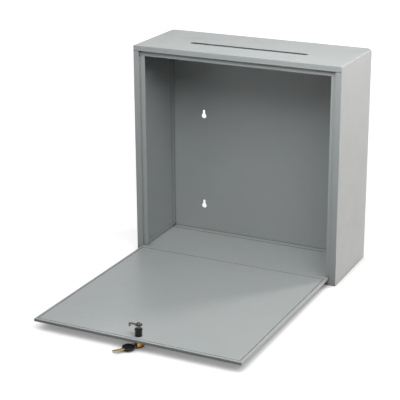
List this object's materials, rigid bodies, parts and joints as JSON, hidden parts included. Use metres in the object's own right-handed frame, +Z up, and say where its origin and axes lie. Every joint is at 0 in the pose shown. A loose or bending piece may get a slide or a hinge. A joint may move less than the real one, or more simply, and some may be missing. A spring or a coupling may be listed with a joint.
{
  "type": "mail drop box",
  "caption": "Sheet-steel mail drop box with a slot in the top and a fold-down front door on a piano hinge, closed by a cam lock with keys.",
  "frame": {"origin": "centre of the cabinet's underside, on the surface it stands on", "axes": "+Z up, +Y towards the wall behind the cabinet, the doorway faces -Y"},
  "size_m": [0.4572, 0.6385, 0.4572],
  "materials": {
    "painted_steel": "platinum grey powder coat, satin, with a very fine orange peel",
    "bright_steel": "bright zinc-plated steel pin",
    "dark_zinc": "black chromate on die-cast zinc, half gloss",
    "nickel_plate": "bright nickel plate, slightly worn",
    "brass": "polished brass cap, lightly tarnished",
    "key_brass": "milled key brass",
    "black_plastic": "moulded black plastic, fine texture",
    "dark_wire": "blackened steel wire"
  },
  "bodies": {
    "cabinet": {"cabinet_wrap": "painted_steel", "bottom_panel": "painted_steel", "back_panel": "painted_steel", "door_stop_top": "painted_steel", "door_stop_left": "painted_steel", "door_stop_right": "painted_steel", "lock_strike": "painted_steel", "hinge_leaf_cabinet": "painted_steel", "hinge_pin": "bright_steel"},
    "door": {"door_outer_pan": "painted_steel", "door_inner_panel": "painted_steel", "hinge_leaf_door": "painted_steel", "lock_shell": "dark_zinc", "lock_face_cap": "brass", "lock_sleeve_nut": "dark_zinc"},
    "lock": {"lock_plug": "nickel_plate", "lock_stop_washer": "dark_zinc", "lock_cam": "nickel_plate", "cam_screw": "nickel_plate"},
    "keys": {"key_wire": "dark_wire", "key_1_blade": "key_brass", "key_1_bow": "black_plastic", "key_2_blade": "key_brass", "key_2_bow": "black_plastic"}
  },
  "joints": [
    {"name": "door_hinge", "type": "hinge", "parent": "cabinet", "child": "door", "pos_m": [0, -0.0869, 0.0135], "axis": [-1, 0, 0], "range_deg": [0, 89.4]},
    {"name": "lock_turn", "type": "hinge", "parent": "door", "child": "lock", "pos_m": [0, -0.50008, 0.01783], "axis": [0, 0.0105, 0.9999], "range_deg": [0, 90]},
    {"name": "key_swing", "type": "hinge", "parent": "door", "child": "keys", "pos_m": [0, -0.50024, 0.0023], "axis": [0, 0, 1], "continuous": true}
  ]
}
